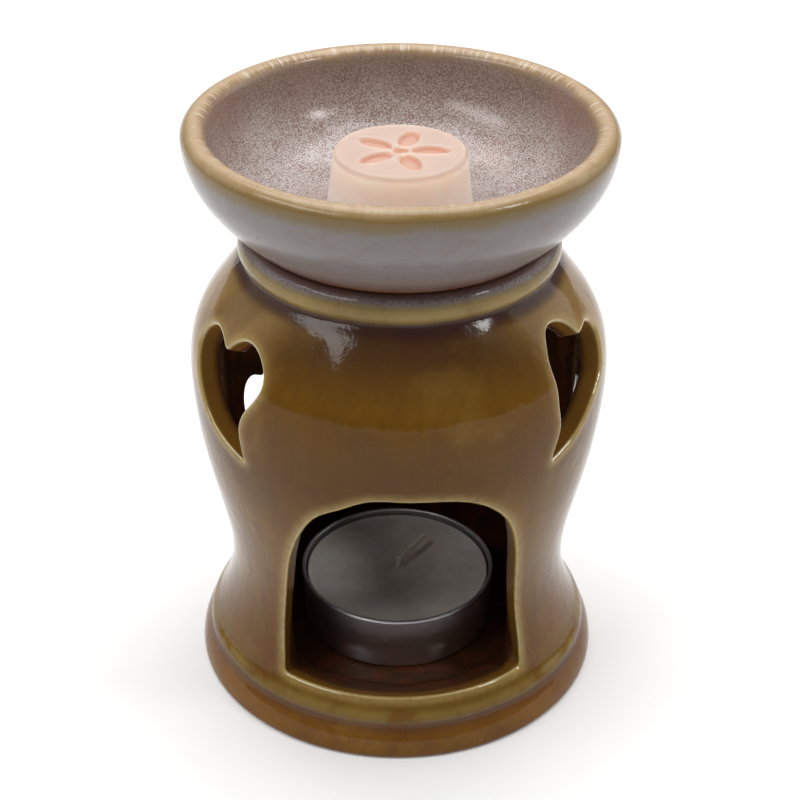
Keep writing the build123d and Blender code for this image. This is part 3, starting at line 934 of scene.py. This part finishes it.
def dish_outline(s):
    """The dish's whole section, and the part of it that shows, from its foot over the lip to the middle."""
    foot = (s.foot_radius, s.seat_height)
    lip_height = DISH_HIGH[2] - s.lip_round
    lip_outer = (s.radius, lip_height)
    lip_inner = (s.radius - s.lip_thickness, lip_height)
    lip_top = (s.radius - s.lip_thickness / 2, DISH_HIGH[2])
    floor_edge = (s.floor_radius, s.seat_height + s.floor)
    outside = [
        foot,
        part_way(foot, lip_outer, DISH_LOW_SHARES),
        part_way(foot, lip_outer, DISH_HIGH_SHARES),
        lip_outer,
    ]
    inside = [
        floor_edge,
        part_way(floor_edge, lip_inner, BOWL_LOW_SHARES),
        part_way(floor_edge, lip_inner, BOWL_HIGH_SHARES),
        lip_inner,
    ]
    shown = np.concatenate([
        spline(outside, DISH_FOOT_DIRECTION, (0, 1), 200),
        arc(lip_outer, lip_top, lip_inner, 30)[1:],
        spline(inside, (1, 0), BOWL_LIP_DIRECTION, 200)[::-1][1:],
        [(0, floor_edge[1])],
    ])
    shown = rows(softened(shown, 0.3 * MM), 0.7 * MM, math.radians(7))
    spigot_inner = s.spigot_radius - s.spigot_wall
    hidden = [
        (0, s.seat_height),
        (spigot_inner, s.seat_height),
        (spigot_inner, DISH_LOW[2]),
        (s.spigot_radius, DISH_LOW[2]),
        (s.spigot_radius, s.seat_height),
    ]
    return np.concatenate([shown, hidden]), shown


# Colours under the speckle, by the share of the way from the seam over the lip to the floor's middle
DISH_BANDS = [
    (0.000, (0.240, 0.075, 0.026)),
    (0.020, (0.220, 0.085, 0.040)),
    (0.036, (0.190, 0.112, 0.088)),
    (0.090, (0.212, 0.152, 0.134)),
    (0.150, (0.235, 0.192, 0.180)),
    (0.230, (0.258, 0.224, 0.218)),
    (0.282, (0.255, 0.216, 0.188)),
    (0.302, (0.226, 0.164, 0.088)),
    (0.328, (0.234, 0.150, 0.052)),
    (0.346, (0.347, 0.241, 0.123)),
    (0.362, (0.470, 0.345, 0.225)),
    (0.378, (0.455, 0.325, 0.205)),
    (0.392, (0.310, 0.205, 0.100)),
    (0.408, (0.252, 0.168, 0.103)),
    (0.440, (0.211, 0.135, 0.106)),
    (0.640, (0.214, 0.130, 0.110)),
    (0.780, (0.220, 0.140, 0.120)),
    (1.000, (0.250, 0.165, 0.142)),
]


def speckled_glaze(s):
    """Reactive glaze: fine lavender white grains over mauve brown, tan where it breaks over the lip."""
    finish = Finish("speckled_glaze")
    streaks = finish.noise(0.9 * MM, detail=3, place=finish.round_axis(s.radius))
    slow = finish.noise(9 * MM, detail=4, roughness=0.6)
    run = finish.value("glaze_run")
    fringe = finish.span(streaks, 0.25, 0.75, -0.012, 0.012, smooth=False)
    fringe = finish.sum("MULTIPLY", fringe, finish.span(run, 0.34, 0.38, 0.15, 1.0))
    wander = finish.span(slow, 0.25, 0.75, -0.010, 0.010, smooth=False)
    share = finish.sum("ADD", run, finish.sum("ADD", fringe, wander))
    base = finish.ramp(share, DISH_BANDS)
    patches = finish.noise(6.5 * MM, detail=5, roughness=0.62)
    grains = finish.noise(0.28 * MM, detail=2, roughness=0.6)
    flecks = finish.cells(0.42 * MM)
    speckle = finish.sum("SUBTRACT", grains, finish.sum("MULTIPLY", flecks, 0.14))
    cover = finish.span(patches, 0.30, 0.72, -0.045, 0.045, smooth=False)
    speckle = finish.sum("ADD", speckle, cover)
    inside = finish.span(share, 0.376, 0.418)
    down = finish.span(share, 0.42, 0.78, 0.000, 0.058, smooth=False)
    white = finish.span(finish.sum("ADD", speckle, down), 0.350, 0.525)
    tone = finish.mix(finish.span(share, 0.42, 0.66), tuple(s.haze), tuple(s.grain))
    tone = finish.mix(finish.span(share, 0.68, 0.88, 0.0, 0.8), tone, tuple(s.worn))
    base = finish.mix(finish.sum("MULTIPLY", inside, white), base, tone)
    above_seam, below_lip = finish.span(share, 0.05, 0.20, 0.08, 1.0), finish.span(share, 0.312, 0.272)
    outside = finish.sum("MULTIPLY", above_seam, below_lip)
    mottle = finish.noise(1.1 * MM, detail=5, roughness=0.74)
    milk = finish.span(finish.sum("ADD", mottle, finish.sum("MULTIPLY", grains, 0.35)), 0.48, 0.82)
    base = finish.mix(finish.sum("MULTIPLY", outside, milk), base, tuple(s.milk))
    shade = finish.noise(4.5 * MM, detail=5, roughness=0.66, place=finish.stretched(1, 1, 1.6))
    shaded = finish.sum("MULTIPLY", outside, finish.span(shade, 0.40, 0.72, 0.0, 0.42))
    base = finish.mix(shaded, base, tuple(s.mauve))
    blush = finish.span(finish.noise(13 * MM, detail=3), 0.52, 0.70, 0.0, 0.30)
    base = finish.mix(finish.sum("MULTIPLY", inside, blush), base, tuple(s.blush))
    # Partly painted highlight: pale beads along the lip's top are runs of glaze and painted glints.
    runs_and_glints = finish.span(finish.noise(0.75 * MM, detail=1, place=finish.round_axis(s.radius)), 0.55, 0.66)
    rim = finish.sum("MULTIPLY", finish.span(run, 0.361, 0.369), finish.span(run, 0.396, 0.386))
    base = finish.mix(finish.sum("MULTIPLY", runs_and_glints, rim), base, tuple(s.rivulet_and_glint))
    spots = finish.span(finish.cells(11.0 * MM), 0.020, 0.045, 0.6, 0.0)
    base = finish.mix(spots, base, tuple(s.spot))
    finish.set(Base_Color=base, Specular_IOR_Level=0.32)
    finish.set(Roughness=finish.span(speckle, 0.3, 0.6, 0.14, 0.26))
    relief = finish.bump(finish.noise(7 * MM, detail=2), 0.22 * MM, 0.3)
    finish.set(Normal=finish.bump(speckle, 0.025 * MM, 0.5, below=relief))
    return finish.material


class OBJECT_OT_oil_dish(bpy.types.Operator):
    """Spins the dish and glazes it"""

    bl_idname = "object.oil_dish_add"
    bl_label = "Dish"

    def execute(self, context):
        s = context.scene.oil_dish
        outline, shown = dish_outline(s)
        dish = turned("dish", outline, s.steps)
        places = vertex_places(dish)
        section = np.column_stack([np.hypot(places[:, 0], places[:, 1]), places[:, 2]])
        runs = run_lengths(shown)
        nearest = [np.argmin(((shown - point) ** 2).sum(axis=1)) for point in section]
        paint(dish, "glaze_run", runs[nearest] / runs[-1])
        finish_piece(dish, "dish", "oil_dish", speckled_glaze(s))
        return {"FINISHED"}


def cup_outline(s):
    """The drawn cup's section, with a rolled rim."""
    radius = (CUP_HIGH[0] - CUP_LOW[0]) / 2 - s.rim_bead
    rim = CUP_HIGH[2] - s.rim_bead
    foot = radius - s.draft
    low = CUP_LOW[2]
    corner = foot - s.foot_round
    eased = s.foot_round * math.sqrt(0.5)
    outer = arc((corner, low), (corner + eased, low + s.foot_round - eased), (foot, low + s.foot_round), 8)
    roll = [
        (radius + s.rim_bead * math.cos(t), rim + s.rim_bead * math.sin(t))
        for t in np.linspace(-0.75 * math.pi / 2, 1.35 * math.pi, 20)
    ]
    inner_round = s.foot_round - s.wall
    eased = inner_round * math.sqrt(0.5)
    floor = low + s.wall
    inner = arc(
        (foot - s.wall, low + s.foot_round), (corner + eased, floor + inner_round - eased), (corner, floor), 8
    )
    return np.concatenate([[(0, low)], outer, roll, inner, [(0, floor)]])


def cup_aluminium():
    """Drawn aluminium with fine lines round the cup and faint handling marks."""
    finish = Finish("cup_aluminium")
    lines = finish.noise(0.16 * MM, detail=4, roughness=0.6, place=finish.stretched(0.02, 0.02, 1))
    marks = finish.noise(4 * MM, detail=4, roughness=0.6)
    tone = finish.mix(finish.span(marks, 0.3, 0.7), (0.78, 0.78, 0.79), (0.66, 0.66, 0.68))
    finish.set(Base_Color=tone, Metallic=1.0)
    worn = finish.sum("ADD", lines, finish.sum("MULTIPLY", marks, 0.5))
    finish.set(Roughness=finish.span(worn, 0.45, 1.0, 0.34, 0.46))
    finish.set(Normal=finish.bump(lines, 0.006 * MM, 0.4))
    return finish.material


class OBJECT_OT_tealight_cup(bpy.types.Operator):
    """Spins the tealight's drawn cup"""

    bl_idname = "object.tealight_cup_add"
    bl_label = "Tealight cup"

    def execute(self, context):
        s = context.scene.tealight
        cup = turned("cup", cup_outline(s), s.steps, CUP_MIDDLE[:2])
        finish_piece(cup, "tealight", "tealight_cup", cup_aluminium())
        return {"FINISHED"}


def candle_wax():
    """White paraffin: cloudy, with a finely rippled skin."""
    finish = Finish("candle_wax")
    cloud = finish.noise(5 * MM, detail=5, roughness=0.6)
    tone = finish.mix(finish.span(cloud, 0.3, 0.7), (0.82, 0.77, 0.71), (0.70, 0.65, 0.585))
    finish.set(Base_Color=tone, Roughness=finish.span(cloud, 0.3, 0.7, 0.30, 0.46), IOR=1.44)
    finish.set(Subsurface_Weight=0.12, Subsurface_Scale=0.002)
    relief = finish.bump(finish.noise(3.5 * MM, detail=3), 0.12 * MM, 0.4)
    finish.set(Normal=finish.bump(finish.noise(0.5 * MM, detail=3), 0.015 * MM, 0.5, below=relief))
    return finish.material


class OBJECT_OT_tealight_wax(bpy.types.Operator):
    """Spins the wax disc, with the meniscus that it leaves up the cup and round the wick"""

    bl_idname = "object.tealight_wax_add"
    bl_label = "Tealight wax"

    def execute(self, context):
        s = context.scene.tealight
        radius = (WAX_HIGH[0] - WAX_LOW[0]) / 2
        top, low = WAX_HIGH[2], CUP_LOW[2] + s.wall
        sunk = top - s.wax_dip
        line = np.array([
            (0, low),
            (radius - 1.2 * MM, low),
            (radius - 0.4 * MM, low + 1.0 * MM),
            (radius, top - 0.4 * MM),
            (radius - 0.1 * MM, top),
            (radius - 0.9 * MM, sunk),
            (3.2 * MM, sunk + 0.03 * MM),
            (1.5 * MM, top - 0.15 * MM),
            (0, top),
        ])
        outline = rows(softened(line, 0.25 * MM), 1.2 * MM, math.radians(10))
        wax = turned("wax", outline, s.steps, CUP_MIDDLE[:2])
        finish_piece(wax, "tealight", "tealight_wax", candle_wax())
        return {"FINISHED"}


def wick_line(s, count):
    """The wick's middle line and its length so far: up through the wax, round a bend and along."""
    ahead = np.array([math.cos(s.wick_heading), math.sin(s.wick_heading)])
    bend = WAX_HIGH[2] + s.wick_stand
    slope = math.atan2(s.wick_rise, s.wick_reach)
    turn = math.pi / 2 - slope
    side = s.wick_bend * math.tan(turn / 2)
    sweep = np.linspace(0, turn, 16)
    bent = np.column_stack([s.wick_bend * (1 - np.cos(sweep)), bend - side + s.wick_bend * np.sin(sweep)])
    line = np.concatenate([[(0, WICK_LOW[2])], bent, [(s.wick_reach, bend + s.wick_rise)]])
    line = evened(line, count)
    places = np.column_stack([line[:, :1] * ahead + np.array(CUP_MIDDLE[:2]), line[:, 1]])
    return places, run_lengths(line), np.array([*ahead, 0])


def wick_cotton():
    """Waxed cotton: pale threads that wind along each strand, darker between them."""
    finish = Finish("wick_cotton")
    threads = finish.noise(0.12 * MM, detail=4, roughness=0.6, distortion=0.6)
    tone = finish.mix(finish.span(threads, 0.32, 0.66), (0.52, 0.46, 0.36), (0.84, 0.80, 0.70))
    finish.set(Base_Color=tone, Roughness=finish.span(threads, 0.3, 0.7, 0.75, 0.45))
    finish.set(Normal=finish.bump(threads, 0.05 * MM, 0.7))
    return finish.material


class OBJECT_OT_tealight_wick(bpy.types.Operator):
    """Twists three strands along the wick's line"""

    bl_idname = "object.tealight_wick_add"
    bl_label = "Wick"

    def execute(self, context):
        s = context.scene.tealight
        places, runs, ahead = wick_line(s, 90)
        along = unit(np.gradient(places, axis=0))
        sideways = np.cross((0, 0, 1), ahead)
        upwards = np.cross(along, sideways)
        strand = s.wick_radius * 0.54
        frayed = np.clip((runs - runs[-1] + s.wick_fray) / s.wick_fray, 0, 1)
        spread = (s.wick_radius - strand) * (1 + 0.5 * frayed)
        sections = np.linspace(0, TURN, 13)[:-1]
        across, up = np.cos(sections)[None, :, None], np.sin(sections)[None, :, None]
        strands = []
        for k in range(s.wick_strands):
            turn = TURN * (k / s.wick_strands + runs / s.wick_twist)
            middle = places + spread[:, None] * (
                np.cos(turn)[:, None] * sideways + np.sin(turn)[:, None] * upwards
            )
            rings = middle[:, None] + strand * (across * sideways + up * upwards[:, None])
            strands.append(skinned(f"strand_{k}", rings))
        bpy.ops.object.select_all(action="DESELECT")
        for piece in strands:
            piece.select_set(True)
        bpy.context.view_layer.objects.active = strands[0]
        bpy.ops.object.join()
        strands[0].name = strands[0].data.name = "wick_strands"
        finish_piece(strands[0], "tealight", "wick", wick_cotton())
        return {"FINISHED"}


class OBJECT_OT_wick_sustainer(bpy.types.Operator):
    """Gives the wick's tinplate tab its finish"""

    bl_idname = "object.wick_sustainer_finish"
    bl_label = "Wick sustainer"

    def execute(self, context):
        finish = Finish("tinplate")
        rolled = finish.noise(0.14 * MM, detail=4, roughness=0.6, place=finish.stretched(0.03, 1, 1))
        spangle = finish.cells(1.4 * MM)
        tone = finish.mix(finish.span(spangle, 0.1, 0.8), (0.66, 0.66, 0.65), (0.50, 0.50, 0.51))
        finish.set(Base_Color=tone, Metallic=1.0, Roughness=finish.span(rolled, 0.3, 0.7, 0.26, 0.42))
        finish.set(Normal=finish.bump(rolled, 0.01 * MM, 0.5))
        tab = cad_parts["wick_sustainer"]
        tab.data.materials.clear()
        tab.data.materials.append(finish.material)
        return {"FINISHED"}


def press_rosette(melt, s):
    """Presses petals and a bud into the melt's top, with eased edges, and marks how deep each vertex went."""
    places = vertex_places(melt)
    top = MELT_HIGH[2]
    outside = np.full(len(places), 1.0)
    for k in range(s.petals):
        turn = TURN * k / s.petals
        ahead = places[:, 0] * math.cos(turn) + places[:, 1] * math.sin(turn) - s.petal_distance
        aside = places[:, 1] * math.cos(turn) - places[:, 0] * math.sin(turn)
        reach = np.hypot(ahead / (s.petal_length / 2), aside / (s.petal_width / 2))
        outside = np.minimum(outside, (reach - 1) * s.petal_width / 2)
    outside = np.minimum(outside, np.hypot(places[:, 0], places[:, 1]) - s.bud_radius)
    share = np.clip((s.press_ease - outside) / (2 * s.press_ease), 0, 1)
    share = share * share * (3 - 2 * share)
    share = np.where(places[:, 2] > top - 0.25 * MM, share, 0)
    places[:, 2] -= share * s.petal_depth
    melt.data.vertices.foreach_set("co", places.reshape(-1))
    paint(melt, "pressed", share)


def scented_wax(s):
    """Soft peach wax, warmer where it is pressed in, with faint bloom and flow marks, and painted shade on
    its top face.
    """
    finish = Finish("scented_wax")
    bloom = finish.noise(3.2 * MM, detail=5, roughness=0.65)
    tone = finish.mix(finish.span(bloom, 0.32, 0.70), tuple(s.peach), tuple(s.bloom))
    pressed = finish.value("pressed")
    # Painted shade: the top face is mixed towards a darker colour than the sides.
    face = finish.span(finish.height(), MELT_HIGH[2] - 1.4 * MM, MELT_HIGH[2] - 0.2 * MM)
    tone = finish.mix(finish.sum("MULTIPLY", face, 0.85), tone, tuple(s.face))
    tone = finish.mix(finish.span(pressed, 0.05, 0.9, 0.0, 0.8), tone, tuple(s.pressed))
    finish.set(Base_Color=tone, Roughness=finish.span(bloom, 0.3, 0.7, 0.42, 0.58), Specular_IOR_Level=0.25)
    finish.set(Subsurface_Weight=1.0, Subsurface_Scale=0.008, Subsurface_Radius=(1.0, 0.75, 0.6))
    relief = finish.bump(finish.noise(2.4 * MM, detail=3), 0.10 * MM, 0.4)
    finish.set(Normal=finish.bump(finish.noise(0.35 * MM, detail=3), 0.02 * MM, 0.5, below=relief))
    return finish.material


class OBJECT_OT_wax_melt(bpy.types.Operator):
    """Spins the wax melt and presses a rosette into its top"""

    bl_idname = "object.wax_melt_add"
    bl_label = "Wax melt"

    def execute(self, context):
        s = context.scene.wax_melt
        low, top = MELT_LOW[2], MELT_HIGH[2]
        outline = np.array([(0, low), (s.base_radius, low), (s.top_radius, top), (0, top)])
        outline = rows(softened(outline, s.edge_ease), 0.3 * MM, math.radians(8))
        melt = turned("melt", outline, s.steps)
        press_rosette(melt, s)
        finish_piece(melt, "melt", "wax_melt", scented_wax(s))
        return {"FINISHED"}


# Each lamp's name, place, width, height, the setting for its watts and its share of them
LAMPS = [
    ("top_lamp", (0.0, 0.22, 0.95), 0.9, 0.8, "top_power", 1.0),
    ("left_lamp", (-0.538, -0.240, 0.714), 0.58, 0.17, "left_power", 1.0),
    ("right_lamp", (0.515, -0.21, 0.675), 0.12, 0.12, "right_power", 1.0),
    ("left_wall", (-0.95, 0.30, 0.50), 0.7, 0.7, "wall_power", 0.45),
    ("right_wall", (0.95, 0.30, 0.50), 0.7, 0.7, "wall_power", 1.0),
]


def add_lamp(name, place, width, height, power):
    """A soft flat lamp that faces the middle of the burner."""
    bpy.ops.object.light_add(type="AREA", location=place)
    lamp = bpy.context.object
    lamp.name = name
    lamp.data.shape = "RECTANGLE"
    lamp.data.size, lamp.data.size_y = width, height
    lamp.data.energy = power
    lamp.rotation_euler = (Vector(place) - Vector((0, 0, 0.06))).to_track_quat("Z", "Y").to_euler()
    return lamp


def pale_floor(s):
    """A plain white sheet with a faint grain."""
    finish = Finish("pale_floor")
    grain = finish.span(finish.noise(0.02, detail=4), 0.3, 0.7, 0.985, 1.0)
    finish.set(Base_Color=finish.mix(1.0, tuple(s.sheet), grain, blend="MULTIPLY"))
    finish.set(Roughness=0.8, Specular_IOR_Level=0.1, Emission_Color=(1, 1, 1))
    middle = finish.node("ShaderNodeVectorMath", operation="LENGTH")
    finish.feed(middle.inputs[0], finish.place)
    far = finish.span(middle.outputs["Value"], s.glow_start, s.glow_end, s.sheet_glow, 1.0)
    rays = finish.node("ShaderNodeLightPath").outputs
    seen = finish.sum("MAXIMUM", rays["Is Camera Ray"], rays["Is Glossy Ray"])
    seen = finish.sum("MAXIMUM", seen, rays["Is Transmission Ray"])
    finish.set(Emission_Strength=finish.sum("MULTIPLY", seen, far))
    return finish.material


def pale_room(s):
    """A dim even room that looks white behind the floor."""
    world = bpy.data.worlds.new("studio")
    world.use_nodes = True
    nodes, links = world.node_tree.nodes, world.node_tree.links
    rays = nodes.new("ShaderNodeLightPath")
    seen = nodes.new("ShaderNodeMath")
    seen.operation = "MAXIMUM"
    links.new(rays.outputs["Is Camera Ray"], seen.inputs[0])
    links.new(rays.outputs["Is Transmission Ray"], seen.inputs[1])
    tone = nodes.new("ShaderNodeMix")
    tone.data_type = "RGBA"
    tone.inputs[6].default_value = (*s.room, 1)
    tone.inputs[7].default_value = (1, 1, 1, 1)
    links.new(seen.outputs[0], tone.inputs["Factor"])
    links.new(tone.outputs[2], nodes["Background"].inputs["Color"])
    return world


def add_camera(context, s):
    """The camera at the photograph's place, turned and tilted to its view."""
    camera = bpy.data.objects.new("camera", bpy.data.cameras.new("camera"))
    context.collection.objects.link(camera)
    camera.data.lens = s.lens
    camera.data.sensor_width = 36
    camera.data.shift_x = s.shift
    camera.data.clip_start = 0.01
    round_axis = Matrix.Rotation(s.camera_turn, 4, "Z")
    place = Matrix.Translation((0, -s.camera_distance, s.camera_height))
    tilt = Matrix.Rotation(math.pi / 2 - s.camera_pitch, 4, "X")
    roll = Matrix.Rotation(s.camera_roll, 4, "Z")
    camera.matrix_world = round_axis @ place @ tilt @ roll
    return camera


class OBJECT_OT_burner_stage(bpy.types.Operator):
    """Lays the floor and sets the lamps, the world and the camera"""

    bl_idname = "object.burner_stage_add"
    bl_label = "Stage"

    def execute(self, context):
        s = context.scene.burner_stage
        floor = start_mesh("floor", bpy.ops.mesh.primitive_plane_add, size=s.floor_size)
        floor.data.materials.append(pale_floor(s))
        for name, place, width, height, power, share in LAMPS:
            add_lamp(name, place, width, height, getattr(s, power) * share)
        context.scene.world = pale_room(s)
        context.scene.camera = add_camera(context, s)
        context.scene.view_settings.view_transform = "Standard"
        return {"FINISHED"}


class VIEW3D_PT_oil_burner(bpy.types.Panel):
    """Sizes, colours and buttons of the oil burner"""

    bl_idname = "VIEW3D_PT_oil_burner"
    bl_label = "Oil burner"
    bl_space_type = "VIEW_3D"
    bl_region_type = "UI"
    bl_category = "Oil burner"

    def draw(self, context):
        groups = [
            ("burner_stand", ["object.burner_stand_add"]),
            ("oil_dish", ["object.oil_dish_add"]),
            ("tealight", [
                "object.tealight_cup_add",
                "object.tealight_wax_add",
                "object.tealight_wick_add",
                "object.wick_sustainer_finish",
            ]),
            ("wax_melt", ["object.wax_melt_add"]),
            ("burner_stage", ["object.burner_stage_add"]),
        ]
        for name, operators in groups:
            settings = getattr(context.scene, name)
            box = self.layout.box()
            for key in settings.__annotations__:
                box.prop(settings, key)
            for operator in operators:
                box.operator(operator)


CLASSES = [
    StandSettings,
    DishSettings,
    TealightSettings,
    MeltSettings,
    StageSettings,
    OBJECT_OT_burner_stand,
    OBJECT_OT_oil_dish,
    OBJECT_OT_tealight_cup,
    OBJECT_OT_tealight_wax,
    OBJECT_OT_tealight_wick,
    OBJECT_OT_wick_sustainer,
    OBJECT_OT_wax_melt,
    OBJECT_OT_burner_stage,
    VIEW3D_PT_oil_burner,
]


def register():
    """Registers the classes and puts their settings on the scene."""
    for cls in CLASSES:
        bpy.utils.register_class(cls)
    bpy.types.Scene.burner_stand = PointerProperty(type=StandSettings)
    bpy.types.Scene.oil_dish = PointerProperty(type=DishSettings)
    bpy.types.Scene.tealight = PointerProperty(type=TealightSettings)
    bpy.types.Scene.wax_melt = PointerProperty(type=MeltSettings)
    bpy.types.Scene.burner_stage = PointerProperty(type=StageSettings)


def unregister():
    """Takes the settings off the scene and unregisters the classes."""
    for name in ("burner_stand", "oil_dish", "tealight", "wax_melt", "burner_stage"):
        delattr(bpy.types.Scene, name)
    for cls in reversed(CLASSES):
        bpy.utils.unregister_class(cls)


def main():
    """Registers the add-on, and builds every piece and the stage."""
    register()
    bpy.ops.object.burner_stand_add()
    bpy.ops.object.oil_dish_add()
    bpy.ops.object.tealight_cup_add()
    bpy.ops.object.tealight_wax_add()
    bpy.ops.object.tealight_wick_add()
    bpy.ops.object.wick_sustainer_finish()
    bpy.ops.object.wax_melt_add()
    bpy.ops.object.burner_stage_add()


if __name__ == "__main__":
    main()
